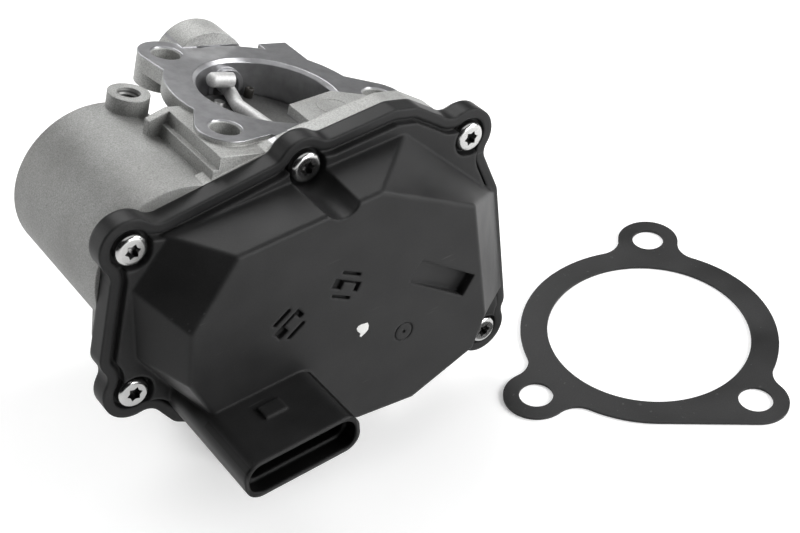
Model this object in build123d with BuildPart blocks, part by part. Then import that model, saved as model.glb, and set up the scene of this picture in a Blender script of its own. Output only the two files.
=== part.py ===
from build123d import *
import math
import os

os.makedirs("parts", exist_ok=True)

# Electric exhaust gas recirculation valve, millimetres.
# +X runs along the long edge of the gear cover, +Y points from the cover towards the motor's far end, +Z is up.
# The origin is the centre of the inlet flange's lower face, on which the valve stands.

# Gas passage
bore_radius = 21.2
bore_chamfer = 1.1
passage_wall = 4.3
outlet_z = 108.0
outlet_tilt = 17.5
neck_length = 50.0
bend_radius = 60.0

# Outlet flange, in its own plane: x to the right, y towards the back
flange_thick = 5.0
flange_radius = 30.8
lug_radius = 8.6
bolt_radius = 4.3
bolt_chamfer = 0.6
bolt_hole_depth = 14.0
lug_a, lug_b, lug_c = (-18.5, 28.3), (-26.6, -20.2), (33.8, -8.8)
boss_a_depth, boss_b_depth = 9.4, 16.0
lug_waist_radius = 22.2
tab_centre, tab_size = (20.5, 22.6), (10.0, 16.0)
pad_height, pad_outline = 3.0, [(-3.5, -33.5), (-3.5, -16.0), (15.0, -10.0), (24.5, -14.0), (28.0, -33.5)]

# Inlet flange
inlet_length, inlet_width, inlet_thick = 56.0, 70.0, 9.0
inlet_corner = 9.0
inlet_spacing_x, inlet_spacing_y = 38.0, 54.0
inlet_bolt_radius = 4.4

# Gear case and cover, seen from the front
case_front = -34.0
case_flange_back = -28.6
case_back = -25.0
tub_inset = 2.5
case_wall = 5.0
pocket_floor = -28.4
screw_post, screw_post_back = 4.8, -29.4
seal_inset, seal_width, seal_depth = 2.0, 1.4, 1.0
screw_points = [(-51.5, 106.0), (2.2, 108.4), (58.0, 94.6), (-58.6, 59.4), (62.9, 16.3)]
cover_outline = [(-45.0, 109.6), (-6.0, 113.0), (33.0, 114.0), (41.0, 111.6), (50.0, 104.5), (62.5, 89.0),
                 (69.0, 71.0), (72.6, 22.0), (52.0, 9.5), (24.0, 10.5), (-4.0, 14.0), (-48.0, 41.0),
                 (-66.5, 72.0), (-58.5, 98.0)]
case_outline = [(-45.0, 109.6), (-6.0, 113.0), (33.0, 114.0), (41.0, 111.6), (50.0, 104.5), (62.5, 89.0),
                (69.0, 71.0), (72.6, 22.0), (52.0, 9.5), (24.0, 10.5), (-4.0, 14.0), (-45.5, 43.0),
                (-63.0, 73.0), (-57.5, 98.0)]
outline_corner, lobe_blend = 6.0, 5.0
cover_lobe, case_lobe, case_lobe_depth = 8.8, 7.6, 1.6
rim_thick = 6.0
skirt_inset = 4.2
skirt_height = 1.6
groove_width, groove_depth = 1.2, 1.0
cover_wall, face_wall = 2.4, 2.5
face_depth = 25.5
plateau_base = [(-42.0, 106.4), (36.5, 106.4), (68.0, 69.8), (71.0, 30.0), (58.0, 20.5), (27.0, 18.0),
                (3.0, 21.0), (-41.0, 43.5), (-57.0, 72.0), (-54.5, 95.0)]
plateau_face = [(-30.4, 105.4), (13.8, 105.4), (45.6, 86.7), (49.3, 43.5), (44.2, 32.2), (21.0, 24.6),
                (1.5, 27.7), (-40.0, 44.5), (-49.7, 70.4), (-46.9, 87.0)]
relief_radius, relief_wall = 5.9, 1.8
recess_centre, recess_size, recess_turn = (33.5, 65.5), (23.8, 7.4), -38.4
recess_depth, recess_slope, recess_margin, recess_backing = 1.9, 5.8, 1.5, 1.8
ring_centre, ring_radius, ring_width, ring_depth, ring_dot = (19.1, 52.7), 3.3, 0.5, 0.5, 0.6
slot_groups = [((-18.3, 75.8), 31.0), ((0.8, 79.8), -33.0)]
slot_size, slot_reach, slot_depth = (6.8, 1.2), 3.8, 1.5
pocket_size, island_size, island_shift = (9.6, 3.2), (4.6, 2.4), (0.9, -0.4)
plateau_round = 1.5

# Cover screws
screw_radius, screw_clearance = 2.5, 2.75
head_radius, head_height, head_round = 4.7, 3.5, 1.4
seat_depth = 4.0
screw_length = 8.0
hole_depth = 4.2
torx_radius, torx_waist, torx_depth = 2.4, 1.65, 2.0

# Connector shroud
plug_x, plug_z = -30.5, 51.0
plug_width, plug_height = 36.5, 12.5
plug_corner = 5.2
plug_wall, plug_lip_wall, plug_lip_depth = 2.0, 1.2, 5.0
socket_corner, lip_corner = 4.1, 4.6
plug_front = -82.5
plug_depth = 18.0
blade_count, blade_pitch = 5, 5.4
blade_width, blade_thick = 2.2, 0.8
blade_recess, blade_end = 7.0, -52.0
key_size, key_height, key_front = (7.0, 5.0), 0.8, -70.0

# Web, platform and ledge between the barrel and the neck, in the outlet flange's plane
web_centre, web_size, web_top, web_depth = (-27.0, -7.0), (26.0, 42.0), -14.0, 16.0
platform_outline = [(-35.6, -33.5), (-35.6, -2.7), (-14.0, -2.7), (0.0, -16.0), (0.0, -33.5)]
platform_top, platform_depth = -1.5, 16.0
ledge_centre, ledge_size, ledge_top = (-36.2, -19.0), (2.2, 29.0), -5.4
rib_outline = [(-33.0, -1.5), (-35.6, -1.5), (-41.5, -4.3), (-41.5, -14.0), (-33.0, -14.0)]
rib_front, rib_back = -5.2, -2.7

# Motor
motor_x, motor_z = -36.4, 88.8
barrel_radius = 25.0
barrel_end = 17.0
barrel_floor = 4.0
motor_radius = 18.0
motor_gap = 0.2
can_wall = 1.4
can_front, can_back = -28.0, 12.0
cap_front, ear_front = -31.0, -30.4
cap_core_radius = 15.0
ear_radius, ear_screw_reach, ear_angle = 3.2, 21.8, 40.0
ear_screw_radius, ear_head_radius, ear_head_height, ear_screw_length = 1.5, 2.6, 1.6, 7.0
spindle_radius, spindle_front, spindle_back = 1.6, -46.0, 12.6
armature_radius, armature_front, armature_back = 11.5, -14.0, 6.0
armature_slots, slot_floor, slot_width = 5, 5.0, 2.2
commutator_radius, commutator_front, commutator_back = 4.5, -25.0, -16.0
magnet_inner, magnet_gap = 12.6, 10.0
magnet_front, magnet_back = -16.0, 8.0
brush_height, brush_outer, brush_front, brush_back = 3.6, 11.0, -24.0, -20.0
holder_wall, holder_inner, holder_outer = 1.2, 6.5, 14.0
washer_radius, washer_hole = 14.0, 10.0
bracket_boss = (-38.5, 12.6)
bracket_boss_radius, bracket_boss_top = 6.2, -4.0
bracket_thread_radius, bracket_thread_depth = 3.4, 9.0

# Flap
flap_axis_offset = (-1.5, -8.5)
shaft_front, shaft_back = -51.5, 40.4
journal_inner = 19.0
flap_rod_radius = 2.1
flap_kink = 3.2
flap_kink_y, crank_end, crank_fillet = 7.0, 17.5, 6.0
flap_tilt = 4.0
flap_thick = 2.0
flap_gap = 0.7
flap_flat = 18.8
bearing_gap = 0.05
bush_radius = 4.5
front_bush_end, front_seal_end = -21.5, -26.0
back_bush_start, back_bush_end = 21.5, 29.0
dome_radius, dome_front, dome_back = 13.2, 31.0, 44.0
dome_neck_radius = 8.0
dome_round = 3.0
dome_cavity, dome_cavity_front = 9.5, 32.2
plug_start, plug_end = 41.2, 43.4
shaft_hole = 2.5
rear_boss_radius, rear_boss_front = 6.0, 19.2
spring_radius, spring_wire, spring_turns = 6.6, 0.8, 4
collar_radius, collar_start = 7.2, 38.4
cross_pin_radius, cross_pin_y, cross_pin_ends, cross_pin_round = 2.3, 15.6, (-9.8, -1.2), 2.0
rivet_radius, rivet_head_radius, rivet_head_height, rivet_reach = 1.2, 2.2, 1.0, 1.7
stop_rivet = (-6.0, 12.4)
hub_radius, hub_back, hub_front = 5.5, -28.8, -33.6
magnet_radius, magnet_front_y, magnet_skirt = 2.9, -53.5, 2.0

# Sensor board
board_outline = [(9.5, 101.5), (13.5, 101.5), (20.0, 97.0), (20.0, 78.0), (-6.0, 78.0), (-6.0, 93.0), (4.0, 98.0)]
board_thick = 1.2
chip_size, chip_thick = 5.0, 1.0

# Posts and seats of the gear axles
axle_post, axle_post_depth = 6.0, 8.0
wheel_axle_depth, idler_axle_depth = 10.0, 4.8
wheel_seat, axle_seat_radius = -46.0, 4.2
floor_ring_radius, floor_ring_front = 3.6, -29.5
idler_axle_front = -35.0
clip_front, clip_back, clip_radius = -34.3, -33.7, 3.6

# Gears: module, teeth and planes
drive_module, train_module = 0.8, 1.0
pinion_teeth, wheel_teeth = 12, 60
small_teeth, idler_teeth, sector_teeth = 16, 28, 52
pressure_angle = 20.0
backlash = 0.16
idler_hole_reach, idler_hole_radius = 8.0, 1.8
wheel_hole_reach, wheel_hole_radius = 15.8, 3.6
pinion_back, pinion_thick = -40.5, 5.0
drive_angle = -51.8
gear_front, gear_thick = -33.4, 3.6
wheel_back, wheel_thick = -41.0, 4.0
axle_radius = 2.0
flap_travel, sector_margin = 75.0, 5.0

# Loose pipe gasket, lying on the ground beside the valve
gasket_centre = (117.8, -62.3)
gasket_opening = 34.4
gasket_ring = 43.6
gasket_lug_radius = 10.8
gasket_blend = 8.0
gasket_bolt_radius = 5.6
gasket_bolts = [(50.1, 47.5), (50.1, 180.8), (45.7, 275.9)]
gasket_thick = 0.9

# Values that follow from the sizes above
outer_radius = bore_radius + passage_wall
tilt = math.radians(outlet_tilt)
outlet_x = neck_length * math.sin(tilt)
bend_z = outlet_z - neck_length * math.cos(tilt)
outlet = Plane(origin=(outlet_x, 0, outlet_z), x_dir=(math.cos(tilt), 0, -math.sin(tilt)),
               z_dir=(math.sin(tilt), 0, math.cos(tilt)))
flap_axis = outlet.from_local_coords(Vector(flap_axis_offset[0], 0, flap_axis_offset[1]))
flap_x, flap_z = flap_axis.X, flap_axis.Z
rim_front = case_front - rim_thick
face_front = case_front - face_depth
motor_bore = motor_radius + motor_gap
head_seat = case_front - seat_depth
face_inner = face_front + face_wall
gear_back = gear_front + gear_thick
slope, turn = math.radians(recess_slope), math.radians(recess_turn)
recess_floor = Plane(origin=(recess_centre[0], face_front + recess_depth, recess_centre[1]),
                     x_dir=(math.cos(turn) * math.cos(slope), math.sin(slope), math.sin(turn) * math.cos(slope)),
                     z_dir=(math.cos(turn) * math.sin(slope), -math.cos(slope), math.sin(turn) * math.sin(slope)))
plug_axis = (plug_x, plug_z)
blade_axes = [(plug_x + blade_pitch * (index - (blade_count - 1) / 2), plug_z) for index in range(blade_count)]
flap_plane = Plane(origin=flap_axis, x_dir=(math.cos(tilt + math.radians(flap_tilt)), 0,
                                            -math.sin(tilt + math.radians(flap_tilt))),
                   z_dir=(math.sin(tilt + math.radians(flap_tilt)), 0, math.cos(tilt + math.radians(flap_tilt))))


def front(y):
    """Plane at depth y that faces the front, with x to the right and z up."""
    return Plane.XZ.offset(-y)


def rounded_outline(points, lobe=0.0, inset=0.0):
    """Outline with lobes around the screws that blend into its edges, moved inwards by inset."""
    with BuildSketch() as sketch:
        with BuildLine():
            Polyline(*points, close=True)
        make_face()
        fillet(sketch.vertices(), radius=outline_corner)
        if lobe:
            with Locations(*screw_points):
                Circle(lobe)
            offset(amount=lobe_blend)
            offset(amount=-lobe_blend)
        if inset:
            offset(amount=-inset)
    return sketch.sketch


def involute(angle):
    return math.tan(angle) - angle


def gear_points(teeth, module, phase, first=0, count=None):
    """Points around involute teeth, anticlockwise, with tooth number zero centred on phase degrees."""
    pitch = teeth * module / 2
    base = pitch * math.cos(math.radians(pressure_angle))
    root, tip = pitch - 1.2 * module, pitch + 0.95 * module
    half = math.pi / (2 * teeth) - backlash / (2 * pitch)
    radii = [max(base, root) + (tip - max(base, root)) * step / 3 for step in range(4)]
    flank = [(radius, half + involute(math.radians(pressure_angle)) - involute(math.acos(base / radius)))
             for radius in radii]
    if root < base:
        flank.insert(0, (root, flank[0][1]))
    points = []
    for index in range(first, first + (count or teeth)):
        centre = math.radians(phase + index * 360 / teeth)
        for radius, spread in flank:
            points.append((radius * math.cos(centre - spread), radius * math.sin(centre - spread)))
        for radius, spread in reversed(flank):
            points.append((radius * math.cos(centre + spread), radius * math.sin(centre + spread)))
    return points


def mate_phase(phase, teeth, mate_teeth, direction):
    """Phase of a gear that meshes with one of the given phase, lying in the given direction from it."""
    return direction + 180 - teeth / mate_teeth * (phase - direction) - 180 / mate_teeth


def angle_between(start, end):
    return math.degrees(math.atan2(end[1] - start[1], end[0] - start[0]))


def meet(near, near_reach, far, far_reach):
    """Point at the two reaches from the two axes, on the right of the way from far to near."""
    span = math.dist(near, far)
    along = (far_reach ** 2 - near_reach ** 2 + span ** 2) / (2 * span)
    aside = math.sqrt(far_reach ** 2 - along ** 2)
    unit_x, unit_z = (near[0] - far[0]) / span, (near[1] - far[1]) / span
    return (far[0] + along * unit_x - aside * unit_z, far[1] + along * unit_z + aside * unit_x)


# Places of the gear axes: the wheel meshes with the pinion, the idler with both the small gear and the sector
motor_axis, sector_axis = (motor_x, motor_z), (flap_x, flap_z)
reach_drive = drive_module * (pinion_teeth + wheel_teeth) / 2
wheel_axis = (motor_x + reach_drive * math.cos(math.radians(drive_angle)),
              motor_z + reach_drive * math.sin(math.radians(drive_angle)))
idler_axis = meet(wheel_axis, train_module * (small_teeth + idler_teeth) / 2,
                  sector_axis, train_module * (idler_teeth + sector_teeth) / 2)
sector_angle = angle_between(sector_axis, idler_axis)
sector_phase = sector_angle
idler_phase = mate_phase(sector_phase, sector_teeth, idler_teeth, sector_angle)
small_phase = mate_phase(idler_phase, idler_teeth, small_teeth, angle_between(idler_axis, wheel_axis))
wheel_phase = 0.0
pinion_phase = mate_phase(wheel_phase, wheel_teeth, pinion_teeth, angle_between(wheel_axis, motor_axis))


def round_bar(axis, radius, start, end, hole=0.0):
    """Bar or tube parallel to Y, from depth start to depth end."""
    with BuildPart() as bar:
        with BuildSketch(front(start)):
            with Locations(axis):
                Circle(radius)
                if hole:
                    Circle(hole, mode=Mode.SUBTRACT)
        extrude(amount=start - end)
    return bar


def save(piece, name):
    piece.part.label = name
    export_step(piece.part, f"parts/{name}.step")


# Cast body
with BuildLine() as passage:
    FilletPolyline((0, 0, 0), (0, 0, bend_z), (outlet_x, 0, outlet_z), radius=bend_radius)
ear_shift = (ear_screw_reach * math.cos(math.radians(ear_angle)),
             ear_screw_reach * math.sin(math.radians(ear_angle)))
ear_screws = [(motor_x + ear_shift[0], motor_z + ear_shift[1]), (motor_x - ear_shift[0], motor_z - ear_shift[1])]
with BuildPart() as valve_body:
    # inlet pipe with its flange and the bend up to the tilted neck
    with BuildSketch(Plane.XY):
        Circle(outer_radius)
    sweep(path=passage.wires()[0])
    with BuildSketch(Plane.XY):
        RectangleRounded(inlet_length, inlet_width, inlet_corner)
    extrude(amount=inlet_thick)
    # outlet flange with its three lugs and the tab at the back
    with BuildSketch(outlet):
        Circle(flange_radius)
        with Locations(tab_centre):
            Rectangle(*tab_size)
    extrude(amount=-flange_thick)
    for lug, depth in ((lug_a, boss_a_depth), (lug_b, boss_b_depth), (lug_c, flange_thick)):
        with BuildSketch(outlet):
            with Locations(lug):
                Circle(lug_radius)
            Circle(lug_waist_radius)
            make_hull()
        extrude(amount=-flange_thick)
        with BuildSketch(outlet):
            with Locations(lug):
                Circle(lug_radius)
        extrude(amount=-depth)
    # motor barrel and the web that ties it to the neck
    with BuildSketch(front(case_front)):
        with Locations(motor_axis):
            Circle(barrel_radius)
    extrude(amount=case_front - barrel_end)
    with BuildSketch(outlet.offset(web_top)):
        with Locations(web_centre):
            Rectangle(*web_size)
    extrude(amount=-web_depth)
    with BuildSketch(outlet.offset(platform_top)):
        Polygon(*platform_outline, align=None)
    extrude(amount=-platform_depth)
    with BuildSketch(outlet.offset(ledge_top)):
        with Locations(ledge_centre):
            Rectangle(*ledge_size)
    extrude(amount=-platform_depth)
    rib_points = [outlet.from_local_coords(Vector(x, 0, height)) for x, height in rib_outline]
    with BuildSketch(front(rib_front)):
        Polygon(*[(point.X, point.Z) for point in rib_points], align=None)
    extrude(amount=rib_front - rib_back)
    # cast pad between the bore and the case
    with BuildSketch(outlet.offset(pad_height)):
        Polygon(*pad_outline, align=None)
    extrude(amount=-pad_height - flange_thick)
    # bracket boss on the far end of the barrel
    with BuildSketch(outlet.offset(bracket_boss_top)):
        with Locations(bracket_boss):
            Circle(bracket_boss_radius)
    extrude(amount=-bracket_thread_depth)
    # gear case plate with posts behind the gear axles
    with BuildSketch(front(case_front)):
        add(rounded_outline(case_outline, case_lobe))
    extrude(amount=-case_lobe_depth)
    with BuildSketch(front(case_front)):
        add(rounded_outline(case_outline))
    extrude(amount=case_front - case_flange_back)
    with BuildSketch(front(case_front)):
        with Locations(*screw_points):
            Circle(screw_post)
    extrude(amount=case_front - screw_post_back)
    with BuildSketch(front(case_front)):
        add(rounded_outline(case_outline, inset=tub_inset))
    extrude(amount=case_front - case_back)
    with BuildSketch(front(case_back)):
        with Locations(wheel_axis):
            Circle(axle_post)
    extrude(amount=-axle_post_depth)
    # far bearing dome
    with BuildSketch(front(dome_front)):
        with Locations(sector_axis):
            Circle(dome_radius)
    extrude(amount=dome_front - dome_back)
    fillet(valve_body.faces().sort_by(Axis.Y)[-1].edges(), radius=dome_round)
    with BuildSketch(front(0)):
        with Locations(sector_axis):
            Circle(dome_neck_radius)
    extrude(amount=-dome_cavity_front)
    # gear pocket around the screw posts, with the seal groove in its rim
    with BuildSketch(front(case_front)):
        add(rounded_outline(case_outline, case_lobe, case_wall))
        with Locations(*screw_points):
            Circle(screw_post, mode=Mode.SUBTRACT)
    extrude(amount=case_front - pocket_floor, mode=Mode.SUBTRACT)
    with BuildSketch(front(case_front)):
        add(rounded_outline(case_outline, case_lobe, seal_inset))
        add(rounded_outline(case_outline, case_lobe, seal_inset + seal_width), mode=Mode.SUBTRACT)
    extrude(amount=-seal_depth, mode=Mode.SUBTRACT)
    for axis in (wheel_axis, idler_axis):
        with BuildSketch(front(pocket_floor)):
            with Locations(axis):
                Circle(floor_ring_radius)
        extrude(amount=pocket_floor - floor_ring_front)
    # gas passage, its chamfer and the bolt holes
    with BuildSketch(Plane.XY):
        Circle(bore_radius)
    sweep(path=passage.wires()[0], mode=Mode.SUBTRACT)
    with BuildSketch(front(rear_boss_front)):
        with Locations(sector_axis):
            Circle(rear_boss_radius)
    extrude(amount=rear_boss_front - back_bush_start - passage_wall / 2)
    with BuildSketch(outlet):
        Circle(bore_radius + bore_chamfer)
    extrude(amount=-bore_chamfer, taper=45, mode=Mode.SUBTRACT)
    with BuildSketch(outlet):
        with Locations(lug_a, lug_b, lug_c):
            Circle(bolt_radius)
    extrude(amount=-bolt_hole_depth, mode=Mode.SUBTRACT)
    with BuildSketch(outlet):
        with Locations(lug_a, lug_b, lug_c):
            Circle(bolt_radius + bolt_chamfer)
    extrude(amount=-bolt_chamfer, taper=45, mode=Mode.SUBTRACT)
    with BuildSketch(Plane.XY):
        with GridLocations(inlet_spacing_x, inlet_spacing_y, 2, 2):
            Circle(inlet_bolt_radius)
    extrude(amount=inlet_thick, mode=Mode.SUBTRACT)
    # motor bore, threaded boss, bearing bores, screw and axle holes
    with BuildSketch(front(case_front)):
        with Locations(motor_axis):
            Circle(motor_bore)
    extrude(amount=case_front - (barrel_end - barrel_floor), mode=Mode.SUBTRACT)
    with BuildSketch(outlet.offset(bracket_boss_top)):
        with Locations(bracket_boss):
            Circle(bracket_thread_radius)
    extrude(amount=-bracket_thread_depth, mode=Mode.SUBTRACT)
    with BuildSketch(front(pocket_floor)):
        with Locations(sector_axis):
            Circle(bush_radius)
    extrude(amount=pocket_floor - back_bush_end, mode=Mode.SUBTRACT)
    with BuildSketch(front(back_bush_end)):
        with Locations(sector_axis):
            Circle(shaft_hole)
    extrude(amount=back_bush_end - dome_cavity_front, mode=Mode.SUBTRACT)
    with BuildSketch(front(dome_cavity_front)):
        with Locations(sector_axis):
            Circle(dome_cavity)
    extrude(amount=dome_cavity_front - dome_back, mode=Mode.SUBTRACT)
    with BuildSketch(front(case_front)):
        with Locations(*screw_points):
            Circle(screw_radius)
    extrude(amount=-hole_depth, mode=Mode.SUBTRACT)
    with BuildSketch(front(pocket_floor)):
        with Locations(*ear_screws):
            Circle(ear_screw_radius)
    extrude(amount=-ear_screw_length, mode=Mode.SUBTRACT)
    for axis, depth in ((wheel_axis, wheel_axle_depth), (idler_axis, idler_axle_depth)):
        with BuildSketch(front(floor_ring_front)):
            with Locations(axis):
                Circle(axle_radius)
        extrude(amount=floor_ring_front - pocket_floor - depth, mode=Mode.SUBTRACT)
save(valve_body, "valve_body")

# Seal ring that lies in the groove of the case
with BuildPart() as cover_seal:
    with BuildSketch(front(case_front)):
        add(rounded_outline(case_outline, case_lobe, seal_inset))
        add(rounded_outline(case_outline, case_lobe, seal_inset + seal_width), mode=Mode.SUBTRACT)
    extrude(amount=-seal_depth)
save(cover_seal, "cover_seal")

# Outer form of the cover's raised middle, with rounded edges
with BuildPart() as plateau:
    with BuildSketch(front(rim_front)):
        Polygon(*plateau_base, align=None)
    with BuildSketch(front(face_front)):
        Polygon(*plateau_face, align=None)
    loft(ruled=True)
    base_face = plateau.faces().sort_by(Axis.Y)[-1]
    fillet([edge for edge in plateau.edges() if edge not in base_face.edges()], radius=plateau_round)

# Hollow of the cover, kept clear of the screw reliefs
with BuildPart() as hollow:
    with BuildSketch(front(case_front)):
        add(rounded_outline(case_outline, case_lobe, case_wall))
    extrude(amount=rim_thick)
    with BuildSketch(front(rim_front)):
        Polygon(*plateau_base, align=None)
        offset(amount=-cover_wall)
    with BuildSketch(front(face_inner)):
        Polygon(*plateau_face, align=None)
        offset(amount=-cover_wall)
    loft(ruled=True)
    for point in screw_points:
        with BuildSketch(front(case_front)):
            with Locations(point):
                Circle(relief_radius + relief_wall)
        extrude(amount=face_depth, mode=Mode.SUBTRACT)

# Moulded cover with the connector shroud
with BuildPart() as actuator_cover:
    with BuildSketch(front(case_front)):
        add(rounded_outline(cover_outline, cover_lobe))
    extrude(amount=rim_thick)
    with BuildSketch(front(rim_front)):
        add(rounded_outline(cover_outline, cover_lobe, skirt_inset))
    extrude(amount=skirt_height)
    with BuildSketch(front(rim_front)):
        add(rounded_outline(cover_outline, cover_lobe, skirt_inset - groove_width))
        add(rounded_outline(cover_outline, cover_lobe, skirt_inset), mode=Mode.SUBTRACT)
    extrude(amount=-groove_depth, mode=Mode.SUBTRACT)
    add(plateau.part)
    with BuildSketch(front(plug_front)):
        with Locations(plug_axis):
            RectangleRounded(plug_width, plug_height, plug_corner)
    extrude(amount=plug_front - rim_front)
    with BuildSketch(front(key_front)):
        with Locations((plug_x, plug_z + plug_height / 2)):
            Rectangle(key_size[0], 2 * key_height)
    extrude(amount=-key_size[1])
    add(hollow.part, mode=Mode.SUBTRACT)
    # backing of the recess and axle seat inside the cover
    with BuildSketch(front(face_inner)):
        with Locations(Location(recess_centre, recess_turn)):
            Rectangle(recess_size[0] + 2 * recess_margin, recess_size[1] + 2 * recess_margin)
    extrude(amount=-recess_backing)
    with BuildSketch(front(wheel_seat)):
        with Locations(wheel_axis):
            Circle(axle_seat_radius)
            Circle(axle_radius, mode=Mode.SUBTRACT)
    extrude(amount=wheel_seat - face_inner)
    # screw reliefs and holes
    for point in screw_points:
        with BuildSketch(front(case_front - seat_depth)):
            with Locations(point):
                Circle(relief_radius)
        extrude(amount=face_depth, mode=Mode.SUBTRACT)
        with BuildSketch(front(case_front)):
            with Locations(point):
                Circle(screw_clearance)
        extrude(amount=rim_thick, mode=Mode.SUBTRACT)
    # socket of the connector and the slots for its blades
    with BuildSketch(front(plug_front)):
        with Locations(plug_axis):
            RectangleRounded(plug_width - 2 * plug_wall, plug_height - 2 * plug_wall, socket_corner)
    extrude(amount=-plug_depth, mode=Mode.SUBTRACT)
    with BuildSketch(front(plug_front)):
        with Locations(plug_axis):
            RectangleRounded(plug_width - 2 * plug_lip_wall, plug_height - 2 * plug_lip_wall, lip_corner)
    extrude(amount=-plug_lip_depth, mode=Mode.SUBTRACT)
    with BuildSketch(front(plug_front)):
        with Locations(*blade_axes):
            Rectangle(blade_width, blade_thick)
    extrude(amount=plug_front - blade_end, mode=Mode.SUBTRACT)
    # recess, ring mark and slot marks of the face
    with BuildSketch(recess_floor):
        Rectangle(*recess_size)
    extrude(amount=2 * recess_depth, mode=Mode.SUBTRACT)
    with BuildSketch(front(face_front)):
        with Locations(ring_centre):
            Circle(ring_radius)
            Circle(ring_radius - ring_width, mode=Mode.SUBTRACT)
            Circle(ring_dot)
    extrude(amount=-ring_depth, mode=Mode.SUBTRACT)
    for centre, turn in slot_groups:
        with BuildSketch(front(face_front)):
            with Locations(Location(centre, turn)):
                Rectangle(*pocket_size)
                with Locations(island_shift):
                    Rectangle(*island_size, mode=Mode.SUBTRACT)
                with Locations((0.0, -slot_reach), (0.0, slot_reach)):
                    SlotOverall(*slot_size)
        extrude(amount=-slot_depth, mode=Mode.SUBTRACT)
save(actuator_cover, "actuator_cover")

# Screws that hold the cover, as one group
torx_points = [((torx_radius, torx_waist)[step % 2] * math.cos(math.pi * step / 6),
                (torx_radius, torx_waist)[step % 2] * math.sin(math.pi * step / 6)) for step in range(12)]
with BuildPart() as cover_screws:
    with BuildSketch(front(head_seat)):
        with Locations(*screw_points):
            Circle(head_radius)
    extrude(amount=head_height)
    fillet(cover_screws.faces().group_by(Axis.Y)[0].edges(), radius=head_round)
    with BuildSketch(front(head_seat - head_height)):
        with Locations(*screw_points):
            Polygon(*torx_points, align=None)
    extrude(amount=-torx_depth, mode=Mode.SUBTRACT)
    with BuildSketch(front(head_seat)):
        with Locations(*screw_points):
            Circle(screw_radius)
    extrude(amount=-screw_length)
save(cover_screws, "cover_screws")

# Blades of the connector
with BuildPart() as connector_pins:
    with BuildSketch(front(plug_front + blade_recess)):
        with Locations(*blade_axes):
            Rectangle(blade_width, blade_thick)
    extrude(amount=plug_front + blade_recess - blade_end)
save(connector_pins, "connector_pins")

# Bearings, seal and end plug of the flap shaft
journal = flap_rod_radius + bearing_gap
save(round_bar(sector_axis, bush_radius, pocket_floor, front_seal_end, journal), "shaft_seal")
save(round_bar(sector_axis, bush_radius, front_seal_end, front_bush_end, journal), "front_bush")
save(round_bar(sector_axis, bush_radius, back_bush_start, back_bush_end, journal), "rear_bush")
save(round_bar(sector_axis, dome_cavity, plug_start, plug_end), "rear_plug")

# Return spring, wound around the rear end of the shaft
spring_length = collar_start - dome_cavity_front - 3 * spring_wire
with BuildPart() as return_spring:
    with BuildLine() as coil:
        Helix(spring_length / spring_turns, spring_length, spring_radius,
              center=(flap_x, dome_cavity_front + spring_wire, flap_z), direction=(0, 1, 0))
    with BuildSketch(Plane(origin=coil.line @ 0, z_dir=coil.line % 0)):
        Circle(spring_wire / 2)
    sweep(path=coil.line, is_frenet=True)
save(return_spring, "return_spring")
save(round_bar(sector_axis, collar_radius, collar_start, shaft_back, flap_rod_radius), "spring_collar")

# Cranked flap shaft, in the plane of the flap
crank = [(0, shaft_front, 0), (0, -journal_inner, 0), (-flap_kink, flap_kink_y, 0), (0, crank_end, 0),
         (0, shaft_back, 0)]
rivet_points = [((crank[leg][0] + crank[leg + 1][0]) / 2, (crank[leg][1] + crank[leg + 1][1]) / 2)
                for leg in (1, 2)]
plate_bottom = -flap_rod_radius - flap_thick
with BuildPart() as flap_shaft:
    with BuildLine() as rod_path:
        FilletPolyline(*[flap_plane.from_local_coords(Vector(*point)) for point in crank], radius=crank_fillet)
    with BuildSketch(front(shaft_front)):
        with Locations(sector_axis):
            Circle(flap_rod_radius)
    sweep(path=rod_path.wires()[0])
    with BuildSketch(flap_plane.offset(plate_bottom)):
        with Locations(*rivet_points):
            Circle(rivet_radius)
    extrude(amount=flap_thick + rivet_reach, mode=Mode.SUBTRACT)
save(flap_shaft, "flap_shaft")

# Flap, cut to the bore, with flats beside its bearings
with BuildPart() as flap_plate:
    with BuildSketch(outlet):
        Circle(bore_radius - flap_gap)
    extrude(amount=-bore_radius)
    with BuildSketch(flap_plane.offset(-flap_rod_radius)):
        Rectangle(4 * bore_radius, 2 * flap_flat)
    extrude(amount=-flap_thick, mode=Mode.INTERSECT)
    with BuildSketch(flap_plane.offset(plate_bottom)):
        with Locations(*rivet_points, stop_rivet):
            Circle(rivet_radius)
    extrude(amount=flap_thick, mode=Mode.SUBTRACT)
save(flap_plate, "flap_plate")

# Rivets of the flap, as one group, and the pin across the crank
cross_pin_start = flap_plane.from_local_coords(Vector(cross_pin_ends[1], cross_pin_y,
                                                      flap_rod_radius + cross_pin_radius))
with BuildPart() as flap_rivets:
    with BuildSketch(flap_plane.offset(plate_bottom)):
        with Locations(*rivet_points, stop_rivet):
            Circle(rivet_head_radius)
    extrude(amount=-rivet_head_height)
    with BuildSketch(flap_plane.offset(plate_bottom)):
        with Locations(*rivet_points):
            Circle(rivet_radius)
    extrude(amount=flap_thick + rivet_reach)
    with BuildSketch(flap_plane.offset(plate_bottom)):
        with Locations(stop_rivet):
            Circle(rivet_radius)
    extrude(amount=flap_thick)
    with BuildSketch(flap_plane.offset(-flap_rod_radius)):
        with Locations(stop_rivet):
            Circle(rivet_head_radius)
    extrude(amount=rivet_head_height, taper=30)
save(flap_rivets, "flap_rivets")
with BuildPart() as flap_cross_pin:
    with BuildSketch(Plane(origin=cross_pin_start, z_dir=-flap_plane.x_dir)):
        Circle(cross_pin_radius)
    extrude(amount=cross_pin_ends[1] - cross_pin_ends[0])
    fillet(flap_cross_pin.faces().sort_by(Axis.X)[0].edges(), radius=cross_pin_round)
save(flap_cross_pin, "flap_cross_pin")

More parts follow.
